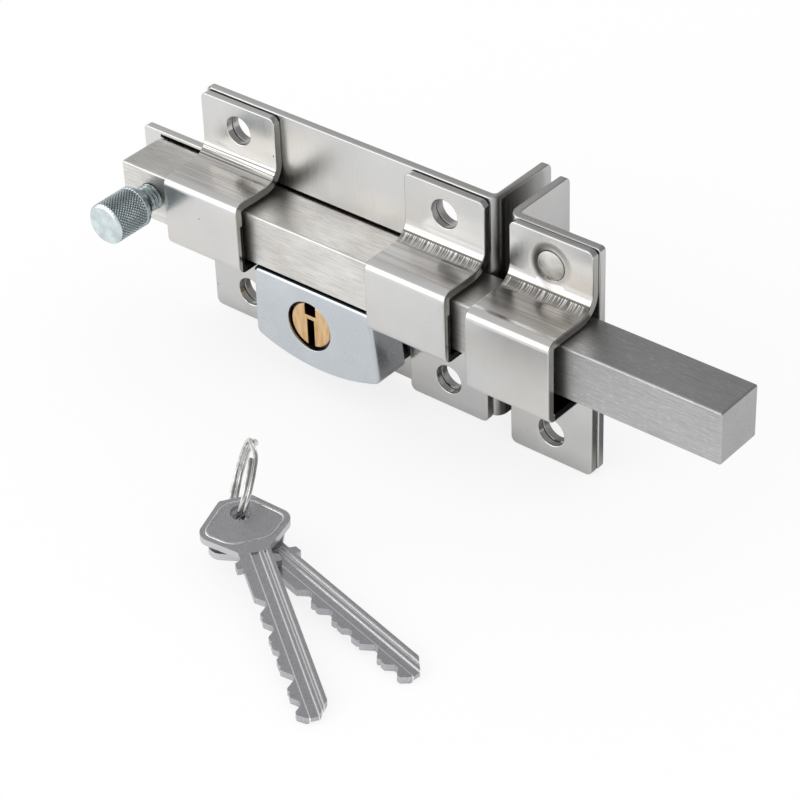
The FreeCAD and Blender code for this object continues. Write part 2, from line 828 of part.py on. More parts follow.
def laid_key(heading, slope):
    """A key with its hole on the ring, its head raised and its tip down on the surface."""
    lean = math.radians(slope)
    underside = rest_gap + key_blade_end * math.sin(lean)
    hole = on_ring(surface_z + underside + key_thickness / 2 * math.cos(lean))
    tilt = FreeCAD.Rotation(point(0, 1, 0), slope)
    turn = FreeCAD.Rotation(point(0, 0, 1), heading)
    both = turn.multiply(tilt)
    shape = key()
    middle = both.multVec(point(0, 0, key_thickness / 2))
    shape.Placement = FreeCAD.Placement(hole - middle, both)
    return shape


def key_one():
    return laid_key(key_one_heading, key_one_slope)


def key_two():
    return laid_key(key_two_heading, key_two_slope)


# Each node under the name that a person would use

nodes = {
    "back_plate": back_plate(),
    "left_guide": door_guide(guide_left_edge),
    "middle_guide": door_guide(guide_middle_edge),
    "cylinder_housing": cylinder_housing(),
    "housing_screws": housing_screws(),
    "cylinder_barrel": cylinder_barrel(),
    "driver_pins": driver_pins(),
    "pin_springs": pin_springs(),
    "pin_cover": pin_cover(),
    "cylinder_plug": cylinder_plug(),
    "key_pins": key_pins(),
    "plug_cam": plug_cam(),
    "plug_clip": plug_clip(),
    "locking_dog": locking_dog(),
    "bolt_bar": bolt_bar(),
    "knob_stud": knob_stud(),
    "pull_knob": pull_knob(),
    "receiver_plate": receiver_plate(),
    "receiver_guide": receiver_guide(),
    "receiver_rivet": receiver_rivet(),
    "key_ring": key_ring(),
    "key_one": key_one(),
    "key_two": key_two(),
}

for name in ("receiver_plate", "receiver_guide", "receiver_rivet"):
    nodes[name].translate(point(0, 0, -receiver_drop))

os.makedirs("parts", exist_ok=True)
for name, shape in nodes.items():
    shape.translate(point(-pattern_x, 0, -pattern_z))
    print(name, "solids", len(shape.Solids), "valid", shape.isValid(), "volume", round(shape.Volume, 1))
    shape.exportStep("parts/" + name + ".step")
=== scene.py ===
import json
import math

import bmesh
import bpy
import numpy as np
from mathutils import Matrix, Vector


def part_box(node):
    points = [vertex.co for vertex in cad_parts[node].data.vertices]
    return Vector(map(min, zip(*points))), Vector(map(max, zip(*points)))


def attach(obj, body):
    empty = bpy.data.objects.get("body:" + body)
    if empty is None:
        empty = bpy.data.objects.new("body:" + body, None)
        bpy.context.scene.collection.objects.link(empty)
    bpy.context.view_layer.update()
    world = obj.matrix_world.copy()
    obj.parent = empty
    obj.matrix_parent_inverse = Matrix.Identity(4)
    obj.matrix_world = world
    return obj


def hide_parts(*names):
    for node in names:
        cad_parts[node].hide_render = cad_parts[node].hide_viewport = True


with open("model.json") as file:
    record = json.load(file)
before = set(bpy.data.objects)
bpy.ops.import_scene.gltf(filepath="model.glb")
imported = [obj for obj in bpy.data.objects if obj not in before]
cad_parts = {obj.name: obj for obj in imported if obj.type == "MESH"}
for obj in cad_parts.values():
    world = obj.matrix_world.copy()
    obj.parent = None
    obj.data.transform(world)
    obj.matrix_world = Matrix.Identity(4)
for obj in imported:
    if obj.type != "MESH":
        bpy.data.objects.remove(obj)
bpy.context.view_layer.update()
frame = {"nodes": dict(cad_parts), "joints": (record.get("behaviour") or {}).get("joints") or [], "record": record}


# The plates: stainless sheet, cut, folded round the edge of the door and of the frame, and polished.
# The main plate has a tongue under the bar's tail, a black line of painted shadow above the bar's upper
# back edge, for the gap behind the bar and its reflection, and painted shade at its fold. Their cut edges
# are broken smooth.

# Here and below, sizes are in millimetres, and a colour's share runs from 0 to 1.
SHEET_EDGE = 0.4
SHEET_LIGHT = "#dadad9"
SHEET_DARK = "#d0d0d0"
SHEET_WARM = "#d8d3cc"
SHEET_PIT = "#4a4947"
# Painted shadow: a black line above the bar, for the gap behind it and that gap's reflection in the plate.
GAP_SHADOW = "#171513"
GAP_SHADOW_ABOVE_BAR = 0.3
GAP_SHADOW_HALF = 0.5
GAP_SHADOW_IN_PLATE = 0.5
# Painted shade on the main plate right of the middle guide and along its fold, fading into the door.
FOLD_SHADE = "#62605d"
FOLD_SHADE_SHARE = 0.85
FOLD_WIDTH = 1.5
FOLD_SLACK = 0.2
FOLD_FADE = (2.0, 14.0)
SAME_PLACE = 0.001
SAME_PLANE = 0.5


def linear(colour):
    """An sRGB hex colour as linear light: c / 12.92 up to 0.04045, else ((c + 0.055) / 1.055) ** 2.4."""
    parts = np.array([int(colour[i:i + 2], 16) / 255 for i in (1, 3, 5)])
    light = np.where(parts <= 0.04045, parts / 12.92, ((parts + 0.055) / 1.055) ** 2.4)
    return (*light.tolist(), 1.0)


def patches(x, y, z):
    """The scale at which a pattern's patches have these sizes in millimetres along X, Y and Z."""
    return 1000 / x, 1000 / y, 1000 / z


def add(tree, kind, settings=None, links=None):
    """Adds one node. Settings go to its sockets, or to the node itself. Links feed its sockets, each from
    a socket or from another node's first output."""
    node = tree.nodes.new(kind)
    for name, value in (settings or {}).items():
        if isinstance(name, int) or name in node.inputs:
            node.inputs[name].default_value = value
        else:
            setattr(node, name, value)
    for name, source in (links or {}).items():
        output = source.outputs[0] if isinstance(source, bpy.types.Node) else source
        tree.links.new(output, node.inputs[name])
    return node


def clouded_metal(name, dark, light, cloud, line, gloss):
    """The start of a metal: soft clouds between two tones, and fine lines that set its roughness.
    cloud and line are the patches' sizes in mm; gloss is the roughness between and on the lines."""
    material = bpy.data.materials.new(name)
    material.use_nodes = True
    tree = material.node_tree
    tree.nodes.clear()
    place = add(tree, "ShaderNodeTexCoord").outputs["Object"]
    spread = add(tree, "ShaderNodeMapping", {"Scale": patches(*cloud)}, {"Vector": place})
    clouds = add(tree, "ShaderNodeTexNoise", {"Scale": 1.0, "Detail": 3.0}, {"Vector": spread})
    share = add(tree, "ShaderNodeMapRange", {"From Min": 0.35, "From Max": 0.65}, {"Value": clouds})
    tones = {"Color1": linear(dark), "Color2": linear(light)}
    colour = add(tree, "ShaderNodeMixRGB", tones, {"Fac": share})
    drawn = add(tree, "ShaderNodeMapping", {"Scale": patches(*line)}, {"Vector": place})
    lines = add(tree, "ShaderNodeTexNoise", {"Scale": 1.0, "Detail": 3.0}, {"Vector": drawn})
    span = {"From Min": 0.3, "From Max": 0.7, "To Min": gloss[0], "To Max": gloss[1]}
    roughness = add(tree, "ShaderNodeMapRange", span, {"Value": lines})
    return material, place, colour, roughness, lines


def close_metal(material, colour, roughness, height, relief):
    """The end of a metal: its skin stands up by the height pattern times a relief in millimetres."""
    tree = material.node_tree
    bump = add(tree, "ShaderNodeBump", {"Strength": 1.0, "Distance": relief / 1000}, {"Height": height})
    links = {"Base Color": colour, "Roughness": roughness, "Normal": bump}
    shader = add(tree, "ShaderNodeBsdfPrincipled", {"Metallic": 1.0}, links)
    add(tree, "ShaderNodeOutputMaterial", {}, {"Surface": shader})
    return material


def worn_sheet(name, cloud, gloss):
    """Polished stainless sheet: nearly even, with warm drifts, very fine lines and a few small pits."""
    material, place, colour, roughness, lines = clouded_metal(
        name, SHEET_DARK, SHEET_LIGHT, cloud, line=(0.4, 0.4, 14), gloss=gloss)
    tree = material.node_tree
    apart = {"Scale": patches(30, 26, 16), "Location": (3, 3, 3)}
    drift = add(tree, "ShaderNodeMapping", apart, {"Vector": place})
    warmth = add(tree, "ShaderNodeTexNoise", {"Scale": 1.0}, {"Vector": drift})
    span = {"From Min": 0.45, "From Max": 0.75, "To Max": 0.7}
    warm = add(tree, "ShaderNodeMapRange", span, {"Value": warmth})
    colour = add(tree, "ShaderNodeMixRGB", {"Color2": linear(SHEET_WARM)}, {"Fac": warm, "Color1": colour})
    specks = add(tree, "ShaderNodeMapping", {"Scale": patches(1.1, 1.1, 1.1)}, {"Vector": place})
    grains = add(tree, "ShaderNodeTexNoise", {"Scale": 1.0, "Detail": 0.0}, {"Vector": specks})
    pits = add(tree, "ShaderNodeMapRange", {"From Min": 0.9, "From Max": 0.92}, {"Value": grains})
    colour = add(tree, "ShaderNodeMixRGB", {"Color2": linear(SHEET_PIT)}, {"Fac": pits, "Color1": colour})
    height = add(tree, "ShaderNodeMath", {"operation": "SUBTRACT"}, {0: lines, 1: pits})
    return material, place, colour, roughness, height


def body_of(node):
    return next(body for body, nodes in frame["record"]["behaviour"]["bodies"].items() if node in nodes)


def finished(node, material, edge, sharp=32.0):
    """A copy of a CAD node with its corners merged and its flat faces joined. Edges that turn by more
    than the sharp angle, in degrees, are rounded, and the flat faces between them are shaded flat."""
    mesh = frame["nodes"][node].data.copy()
    shell = bmesh.new()
    shell.from_mesh(mesh)
    bmesh.ops.remove_doubles(shell, verts=shell.verts, dist=SAME_PLACE / 1000)
    flat_angle = math.radians(SAME_PLANE)
    bmesh.ops.dissolve_limit(shell, angle_limit=flat_angle, verts=shell.verts, edges=shell.edges)
    shell.to_mesh(mesh)
    shell.free()
    mesh.materials.clear()
    mesh.materials.append(material)
    mesh.shade_smooth()
    piece = bpy.data.objects.new(node + "_finished", mesh)
    bpy.context.collection.objects.link(piece)
    rounding = piece.modifiers.new("rounded edges", "BEVEL")
    rounding.width = edge / 1000
    rounding.segments = 3
    rounding.limit_method = "ANGLE"
    rounding.angle_limit = math.radians(sharp)
    rounding.use_clamp_overlap = False
    rounding.harden_normals = True
    flat = piece.modifiers.new("flat faces", "WEIGHTED_NORMAL")
    flat.mode = "FACE_AREA"
    flat.weight = 90
    flat.keep_sharp = False
    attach(piece, body_of(node))
    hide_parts(node)


def plate_sheet():
    """The plates' sheet. The line of painted shadow runs on the face from the bar's tail to the middle guide.
    The fold's painted shade starts at that guide's right end and fades along the flange, into the door."""
    material, place, colour, roughness, height = worn_sheet(
        "polished stainless sheet", cloud=(26, 26, 30), gloss=(0.27, 0.32))
    tree = material.node_tree
    axis = add(tree, "ShaderNodeSeparateXYZ", {}, {"Vector": place})
    bar_low, bar_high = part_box("bolt_bar")
    guide_low, guide_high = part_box("middle_guide")
    # Painted shadow of the gap behind the bar: a line on the plate's face just above the bar.
    line = {"operation": "COMPARE", 1: bar_high.z + GAP_SHADOW_ABOVE_BAR / 1000, 2: GAP_SHADOW_HALF / 1000}
    bar_gap_shadow = add(tree, "ShaderNodeMath", line, {0: axis.outputs["Z"]})
    for name, operation, end in (("X", "GREATER_THAN", bar_low.x), ("X", "LESS_THAN", guide_low.x),
                                 ("Y", "LESS_THAN", guide_high.y + GAP_SHADOW_IN_PLATE / 1000)):
        inside = add(tree, "ShaderNodeMath", {"operation": operation, 1: end}, {0: axis.outputs[name]})
        bar_gap_shadow = add(tree, "ShaderNodeMath", {"operation": "MULTIPLY"}, {0: bar_gap_shadow, 1: inside})
    colour = add(tree, "ShaderNodeMixRGB", {"Color2": linear(GAP_SHADOW)}, {"Fac": bar_gap_shadow, "Color1": colour})
    # Painted shade at the fold: right of the middle guide, fading along the flange into the door.
    along = {"From Min": guide_high.x, "From Max": guide_high.x + FOLD_WIDTH / 1000, "To Max": FOLD_SHADE_SHARE}
    fold = add(tree, "ShaderNodeMapRange", along, {"Value": axis.outputs["X"]})
    main_plate = {"operation": "LESS_THAN", 1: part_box("back_plate")[1].x + FOLD_SLACK / 1000}
    own = add(tree, "ShaderNodeMath", main_plate, {0: axis.outputs["X"]})
    fade = {"From Min": FOLD_FADE[0] / 1000, "From Max": FOLD_FADE[1] / 1000, "To Min": 1.0, "To Max": 0.0}
    near = add(tree, "ShaderNodeMapRange", fade, {"Value": axis.outputs["Y"]})
    for limit in (own, near):
        fold = add(tree, "ShaderNodeMath", {"operation": "MULTIPLY"}, {0: fold, 1: limit})
    colour = add(tree, "ShaderNodeMixRGB", {"Color2": linear(FOLD_SHADE)}, {"Fac": fold, "Color1": colour})
    return close_metal(material, colour, roughness, height, relief=0.0005)


sheet = plate_sheet()
finished("back_plate", sheet, SHEET_EDGE)
finished("receiver_plate", sheet, SHEET_EDGE)


# The guides: three straps of the same sheet, pressed over the bar in one stroke. The press draws long
# lines along the upper wall and leaves short marks where it meets the upper flange, drawn in painted shade
# and painted highlights. Grime has blackened the joint with the plate, the inner walls carry painted shade,
# and the rivet has left a dent round itself, with painted shade in it.

GUIDES = ("left_guide", "middle_guide", "receiver_guide")
SHEET_THICKNESS = 2.5
PRESS_DARK = "#a6a5a3"
PRESS_WARM = "#b4aa9e"
PRESS_RIGHTWARD = 0.5

# Between the two depths of a pair, counted from the nose, the root or the back, a mark comes or goes.
LINES_BEHIND_NOSE = (1.5, 4.5)
LINES_BEFORE_ROOT = (1.0, 0.3)
# The marks' painted shade and painted highlight.
MARK_SHADE = "#66645f"
MARK_HIGHLIGHT = "#f2f2f0"
RIB_SPACING = 0.45
RIBS_START = (4.6, 2.2)
RIBS_STOP = (1.3, 0.9)
# A line of painted shade along the root: its distance before the root, and half its width.
ROOT_LINE = 1.2
ROOT_LINE_HALF = 0.18
CREASES_START = (3.4, 2.6)
CREASES_STOP = 0.2
# Near black, for the dark joint with the plate and for painted shade on the inner walls.
GRIME_AND_SHADE = "#1c1a18"
JOINT_GRIME = (0.6, 0.4)
OUTER_SKIN = 1.3

# The cut ends at the left and at the right: the box's corner, the width that shows, and the tone. The left
# ends' dark tone is painted shade; the right ends keep the cut's own pale tone.
CUT_ENDS = ((0, 0.22, "#4e4c4a"), (1, 0.15, "#b4b3ad"))

DENT_RADIUS = 5.0
DENT_REACH = 2.2
DENT_DEPTH = 0.32
# Painted shade in the dent round the rivet, darkest at its left: the tone, where it runs, and its shares.
DENT_SHADE = "#3e3d3b"
DENT_SHADE_ENDS = (-3.8, 1.0)
DENT_SHADE_SHARES = (0.95, 0.25)

# The skin's height is counted in millimetres too.
SKIN_RELIEF = 0.0012
WALL_RISE = 1.2
RISE_BEHIND_NOSE = 2.5
RISE_BEFORE_ROOT = 1.5

guide_low, guide_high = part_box("middle_guide")
nose = guide_low.y
root = guide_high.y - SHEET_THICKNESS / 1000


def drawn_lines(tree, place, axis, colour):
    """Long press lines in grey and warm grey on the upper wall, from behind the nose's bend to just before
    the flange's root. The further right, the more of the darker press tone shows."""
    y = axis.outputs["Y"]
    near, far = (nose + depth / 1000 for depth in LINES_BEHIND_NOSE)
    behind = add(tree, "ShaderNodeMapRange", {"From Min": near, "From Max": far}, {"Value": y})
    near, far = (root - depth / 1000 for depth in LINES_BEFORE_ROOT)
    span = {"From Min": near, "From Max": far, "To Min": 1.0, "To Max": 0.0}
    before = add(tree, "ShaderNodeMapRange", span, {"Value": y})
    wall = add(tree, "ShaderNodeMath", {"operation": "MULTIPLY"}, {0: behind, 1: before})
    long = add(tree, "ShaderNodeMapping", {"Scale": patches(36, 0.9, 0.9)}, {"Vector": place})
    drawn = add(tree, "ShaderNodeTexNoise", {"Scale": 1.0, "Detail": 3.0}, {"Vector": long})
    span = {"From Min": 0.42, "From Max": 0.62, "To Max": 0.6}
    streaks = add(tree, "ShaderNodeMapRange", span, {"Value": drawn})
    tints = add(tree, "ShaderNodeMapping", {"Scale": patches(22, 4, 9)}, {"Vector": place})
    tint = add(tree, "ShaderNodeTexNoise", {"Scale": 1.0}, {"Vector": tints})
    tones = {"Color1": linear(PRESS_DARK), "Color2": linear(PRESS_WARM)}
    press = add(tree, "ShaderNodeMixRGB", tones, {"Fac": tint})
    # The further right, the more of the darker press tone on the upper wall.
    span = {"From Min": guide_low.x, "From Max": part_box("receiver_guide")[1].x, "To Max": PRESS_RIGHTWARD}
    rightward = add(tree, "ShaderNodeMapRange", span, {"Value": axis.outputs["X"]})
    press_share = add(tree, "ShaderNodeMath", {"operation": "ADD"}, {0: rightward, 1: streaks})
    press_share = add(tree, "ShaderNodeMath", {"operation": "MULTIPLY", "use_clamp": True}, {0: press_share, 1: wall})
    return add(tree, "ShaderNodeMixRGB", {}, {"Fac": press_share, "Color1": colour, "Color2": press})


def root_marks(tree, place, axis, colour):
    """Marks just before the flange's root, in lines of painted shade and painted highlight: ribs across the
    wall and one line of painted shade along the root on the two right guides, creases along the wall on the left
    one."""
    y = axis.outputs["Y"]
    past_left = {"operation": "GREATER_THAN", 1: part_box("left_guide")[1].x}
    right = add(tree, "ShaderNodeMath", past_left, {0: axis.outputs["X"]})
    near, far = (root - depth / 1000 for depth in RIBS_START)
    start = add(tree, "ShaderNodeMapRange", {"From Min": near, "From Max": far}, {"Value": y})
    near, far = (root - depth / 1000 for depth in RIBS_STOP)
    span = {"From Min": near, "From Max": far, "To Min": 1.0, "To Max": 0.0}
    stop = add(tree, "ShaderNodeMapRange", span, {"Value": y})
    ribbed = add(tree, "ShaderNodeMath", {"operation": "MULTIPLY"}, {0: start, 1: stop})
    ribbed = add(tree, "ShaderNodeMath", {"operation": "MULTIPLY"}, {0: ribbed, 1: right})
    short = add(tree, "ShaderNodeMapping", {"Scale": patches(RIB_SPACING, 9, 9)}, {"Vector": place})
    ribs = add(tree, "ShaderNodeTexNoise", {"Scale": 1.0, "Detail": 1.0}, {"Vector": short})

    near, far = (root - depth / 1000 for depth in CREASES_START)
    start = add(tree, "ShaderNodeMapRange", {"From Min": near, "From Max": far}, {"Value": y})
    creased = add(tree, "ShaderNodeMath", {"operation": "SUBTRACT", "use_clamp": True}, {0: start, 1: right})
    stop = add(tree, "ShaderNodeMath", {"operation": "LESS_THAN", 1: root - CREASES_STOP / 1000}, {0: y})
    creased = add(tree, "ShaderNodeMath", {"operation": "MULTIPLY"}, {0: creased, 1: stop})
    apart = {"Scale": patches(50, 0.5, 0.5), "Location": (7, 7, 7)}
    thin = add(tree, "ShaderNodeMapping", apart, {"Vector": place})
    creases = add(tree, "ShaderNodeTexNoise", {"Scale": 1.0, "Detail": 1.0}, {"Vector": thin})

    # Each mark in painted shade and in a painted highlight.
    for pattern, inside, start, end, most, tone in (
            (ribs, ribbed, 0.44, 0.56, 0.8, MARK_SHADE),
            (ribs, ribbed, 0.46, 0.38, 0.8, MARK_HIGHLIGHT),
            (creases, creased, 0.5, 0.58, 0.85, MARK_SHADE),
            (creases, creased, 0.42, 0.36, 0.85, MARK_HIGHLIGHT)):
        span = {"From Min": start, "From Max": end, "To Max": most}
        share = add(tree, "ShaderNodeMapRange", span, {"Value": pattern})
        share = add(tree, "ShaderNodeMath", {"operation": "MULTIPLY"}, {0: share, 1: inside})
        colour = add(tree, "ShaderNodeMixRGB", {"Color2": linear(tone)}, {"Fac": share, "Color1": colour})
    # The line of painted shade along the root.
    line = {"operation": "COMPARE", 1: root - ROOT_LINE / 1000, 2: ROOT_LINE_HALF / 1000}
    root_shade = add(tree, "ShaderNodeMath", line, {0: y})
    share = add(tree, "ShaderNodeMath", {"operation": "MULTIPLY"}, {0: root_shade, 1: right})
    return add(tree, "ShaderNodeMixRGB", {"Color2": linear(MARK_SHADE)}, {"Fac": share, "Color1": colour})


def grime_shade_and_cuts(tree, axis, colour):
    """Grime in the joint with the plate, painted shade on the inner walls, up to the strap's outer skin, and
    the two cut ends of each guide: painted shade at the left, the cut's own pale tone at the right."""
    near, far = (guide_high.y - depth / 1000 for depth in JOINT_GRIME)
    joint = add(tree, "ShaderNodeMapRange", {"From Min": near, "From Max": far}, {"Value": axis.outputs["Y"]})
    colour = add(tree, "ShaderNodeMixRGB", {"Color2": linear(GRIME_AND_SHADE)}, {"Fac": joint, "Color1": colour})
    for guide in GUIDES:
        # At the left ends painted shade, at the right ends the cut's own pale tone.
        for end, half, tone in CUT_ENDS:
            line = {"operation": "COMPARE", 1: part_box(guide)[end].x, 2: half / 1000}
            cut = add(tree, "ShaderNodeMath", line, {0: axis.outputs["X"]})
            colour = add(tree, "ShaderNodeMixRGB", {"Color2": linear(tone)}, {"Fac": cut, "Color1": colour})
    # Painted shade on the inner walls, from the strap's outer skin inwards.
    skin = {"operation": "GREATER_THAN", 1: nose + OUTER_SKIN / 1000}
    deep = add(tree, "ShaderNodeMath", skin, {0: axis.outputs["Y"]})
    middle = (guide_low.z + guide_high.z) / 2
    bar_low, bar_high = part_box("bolt_bar")
    half = (bar_high.z - bar_low.z) / 2 + (SHEET_THICKNESS - OUTER_SKIN) / 1000
    level = add(tree, "ShaderNodeMath", {"operation": "COMPARE", 1: middle, 2: half}, {0: axis.outputs["Z"]})
    inner = add(tree, "ShaderNodeMath", {"operation": "MULTIPLY"}, {0: deep, 1: level})
    return add(tree, "ShaderNodeMixRGB", {"Color2": linear(GRIME_AND_SHADE)}, {"Fac": inner, "Color1": colour})


def rivet_dent(tree, place, axis, colour):
    """The dent round the rivet: depth = s * s * (3 - 2 s), where s falls from 1 to 0 outwards. Painted shade
    lies in it, most of all at the left. Gives the colour, and the share of the dent's depth."""
    low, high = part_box("receiver_rivet")
    centre = ((low.x + high.x) / 2, 0, (low.z + high.z) / 2)
    away = add(tree, "ShaderNodeVectorMath", {"operation": "SUBTRACT", 1: centre}, {0: place})
    away = add(tree, "ShaderNodeVectorMath", {"operation": "MULTIPLY", 1: (1, 0, 1)}, {0: away})
    away = add(tree, "ShaderNodeVectorMath", {"operation": "LENGTH"}, {0: away})
    span = {"From Min": DENT_RADIUS / 1000, "From Max": (DENT_RADIUS + DENT_REACH) / 1000,
            "To Min": 1.0, "To Max": 0.0, "interpolation_type": "SMOOTHSTEP"}
    dent = add(tree, "ShaderNodeMapRange", span, {"Value": away.outputs["Value"]})
    near, far = (centre[0] + side / 1000 for side in DENT_SHADE_ENDS)
    most, least = DENT_SHADE_SHARES
    span = {"From Min": near, "From Max": far, "To Min": most, "To Max": least}
    left = add(tree, "ShaderNodeMapRange", span, {"Value": axis.outputs["X"]})
    # Painted shade in the dent, most at its left.
    shade_in_dent = add(tree, "ShaderNodeMath", {"operation": "MULTIPLY"}, {0: dent, 1: left})
    links = {"Fac": shade_in_dent, "Color1": colour}
    return add(tree, "ShaderNodeMixRGB", {"Color2": linear(DENT_SHADE)}, links), dent


def pressed_sheet():
    """The sheet again, smoother, with the marks of the press, the dark joint, painted shade and the dent. Its
    height is the skin's fine relief, plus a gentle rise of the upper wall towards the root, minus the dent."""
    material, place, colour, roughness, height = worn_sheet(
        "pressed stainless sheet", cloud=(18, 14, 22), gloss=(0.17, 0.25))
    tree = material.node_tree
    axis = add(tree, "ShaderNodeSeparateXYZ", {}, {"Vector": place})
    colour = drawn_lines(tree, place, axis, colour)
    colour = root_marks(tree, place, axis, colour)
    colour = grime_shade_and_cuts(tree, axis, colour)
    colour, dent = rivet_dent(tree, place, axis, colour)
    height = add(tree, "ShaderNodeMath", {"operation": "MULTIPLY", 1: SKIN_RELIEF}, {0: height})
    span = {"From Min": nose + RISE_BEHIND_NOSE / 1000, "From Max": root - RISE_BEFORE_ROOT / 1000,
            "To Max": WALL_RISE}
    rise = add(tree, "ShaderNodeMapRange", span, {"Value": axis.outputs["Y"]})
    height = add(tree, "ShaderNodeMath", {"operation": "ADD"}, {0: height, 1: rise})
    sink = {"operation": "MULTIPLY_ADD", 1: -DENT_DEPTH}
    height = add(tree, "ShaderNodeMath", sink, {0: dent, 2: height})
    return close_metal(material, colour, roughness, height, relief=1.0)


pressed = pressed_sheet()
for guide in GUIDES:
    finished(guide, pressed, SHEET_EDGE)


# The rivet: a soft steel rivet that fills the receiver's upper hole, its head pressed to a low dome
# and rubbed dull.


def dress(node, material):
    """Gives a CAD node that keeps its own shape its finish."""
    mesh = frame["nodes"][node].data
    mesh.materials.clear()
    mesh.materials.append(material)


# Plated steel rubbed by the press: clouded, with a soft satin gloss.
material, place, colour, roughness, lines = clouded_metal(
    "rubbed rivet steel", "#bfbfbb", "#d4d4d0",
    cloud=(2.2, 2.2, 1.4), line=(1.1, 1.1, 0.7), gloss=(0.38, 0.48))
dress("receiver_rivet", close_metal(material, colour, roughness, lines, relief=0.008))


# The bar: square mild steel, cold drawn through a die, which leaves fine broken lines along it,
# sawn to length and oiled.

BAR_EDGE = 0.04
BAR_LIGHT = "#eae8e4"
BAR_MIDDLE = "#d6d3cf"
BAR_DARK = "#8c8a88"
BAR_SCRATCH = "#efedea"
# Painted shade towards the bar's free end, at the right: its tone, where it starts and ends, and its share.
BAR_SHADE = "#b0b1b3"
SHADE_START = 30.0
SHADE_END = 90.0
SHADE_SHARE = 0.75


def drawn_steel():
    """Cold drawn steel: warm grey, with broken lines about 0.2 mm wide and some millimetres long. Towards
    the free end, which runs in and out of the receiver, painted shade makes it a little darker and cooler."""
    material, place, colour, roughness, lines = clouded_metal(
        "cold drawn steel", BAR_MIDDLE, BAR_LIGHT, cloud=(18, 9, 9), line=(5, 0.2, 0.2), gloss=(0.32, 0.44))
    tree = material.node_tree
    axis = add(tree, "ShaderNodeSeparateXYZ", {}, {"Vector": place})
    # Painted shade: darker towards the free end, at the right.
    span = {"From Min": SHADE_START / 1000, "From Max": SHADE_END / 1000, "To Max": SHADE_SHARE}
    rubbed = add(tree, "ShaderNodeMapRange", span, {"Value": axis.outputs["X"]})
    colour = add(tree, "ShaderNodeMixRGB", {"Color2": linear(BAR_SHADE)}, {"Fac": rubbed, "Color1": colour})
    span = {"From Min": 0.45, "From Max": 0.7, "To Max": 0.4}
    dark = add(tree, "ShaderNodeMapRange", span, {"Value": lines})
    colour = add(tree, "ShaderNodeMixRGB", {"Color2": linear(BAR_DARK)}, {"Fac": dark, "Color1": colour})
    apart = {"Scale": patches(2.2, 0.16, 0.16), "Location": (4, 4, 4)}
    fine = add(tree, "ShaderNodeMapping", apart, {"Vector": place})
    scratches = add(tree, "ShaderNodeTexNoise", {"Scale": 1.0}, {"Vector": fine})
    span = {"From Min": 0.58, "From Max": 0.68, "To Max": 0.5}
    bright = add(tree, "ShaderNodeMapRange", span, {"Value": scratches})
    colour = add(tree, "ShaderNodeMixRGB", {"Color2": linear(BAR_SCRATCH)}, {"Fac": bright, "Color1": colour})
    return close_metal(material, colour, roughness, lines, relief=0.006)


finished("bolt_bar", drawn_steel(), BAR_EDGE, sharp=50.0)


# The pull: a stud screwed into the bar, and a knob on it, both free-cutting steel plated in pale
# zinc. The knob is turned with a collar, and its barrel has a crossed knurl rolled in.

STUD_RADIUS = 4.0
STUD_IN_BAR = 10.0
STUD_SHOWN = 4.6
STUD_COLUMNS = 64
THREAD_PITCH = 1.25
THREAD_DEPTH = 0.62
THREAD_ROWS = 60
THREAD_START = 0.01
FLANK_CURVE = 0.8
COLLAR_RADIUS = 4.8
COLLAR_LENGTH = 1.3
KNOB_CHAMFER = 0.8
BORE_DEPTH = 8.4
BORE_PLAY = 0.05
FRONT_EASE = 0.3
BACK_EASE = 0.25
EASE_DEPTH = 0.06
COLLAR_EASE = 0.2
PLAIN_RING = 1.9
KNURL_TEETH = 39
TOOTH_COLUMNS = 8
KNURL_ROWS = 82
KNURL_MARGIN = 0.15
KNURL_PITCH = 1.15
KNURL_DEPTH = 0.38
KNURL_CREST = 0.7
KNURL_POLISH = "#434d54"
SHARP_FOLD = 35


def surface(name, points, material, depth=None):
    """A mesh over a grid of points: each row is a closed loop and joins the next row. Rows that shrink
    to one point close the ends. Folds over a set angle in degrees stay sharp. A depth for each point is
    kept as the attribute "depth"."""
    rows, columns = points.shape[:2]
    number = np.arange(rows * columns).reshape(rows, columns)
    beside = np.roll(number, -1, axis=1)
    faces = np.stack([number[:-1], beside[:-1], beside[1:], number[1:]], axis=-1).reshape(-1, 4)
    mesh = bpy.data.meshes.new(name)
    mesh.from_pydata(points.reshape(-1, 3).tolist(), [], faces.tolist())
    if depth is not None:
        mesh.attributes.new("depth", "FLOAT", "POINT").data.foreach_set("value", depth.ravel())
    shell = bmesh.new()
    shell.from_mesh(mesh)
    bmesh.ops.remove_doubles(shell, verts=shell.verts, dist=SAME_PLACE / 1000)
    bmesh.ops.recalc_face_normals(shell, faces=shell.faces)
    shell.to_mesh(mesh)
    shell.free()
    mesh.materials.append(material)
    mesh.shade_smooth()
    mesh.set_sharp_from_angle(angle=math.radians(SHARP_FOLD))
    piece = bpy.data.objects.new(name, mesh)
    bpy.context.collection.objects.link(piece)
    return piece


def wave(turns):
    """A triangle wave that is 0 at each whole number and 1 half way between."""
    return 1 - np.abs(2 * (turns % 1) - 1)


def turned(profile, columns):
    """A profile of (y, radius) in mm spread over the angles of a full turn: three equal grids."""
    angle = np.linspace(0, 2 * np.pi, columns, endpoint=False)
    y, radius = np.asarray(profile, float).T
    return np.broadcast_arrays(angle[None, :], y[:, None], radius[:, None])


def around(angle, y, radius, centre):
    """Points round an axis along Y: x = r cos a, z = r sin a, from millimetres to metres."""
    x = centre[0] + radius * np.cos(angle)
    z = centre[1] + radius * np.sin(angle)
    return np.stack([x, y, z], axis=-1) / 1000


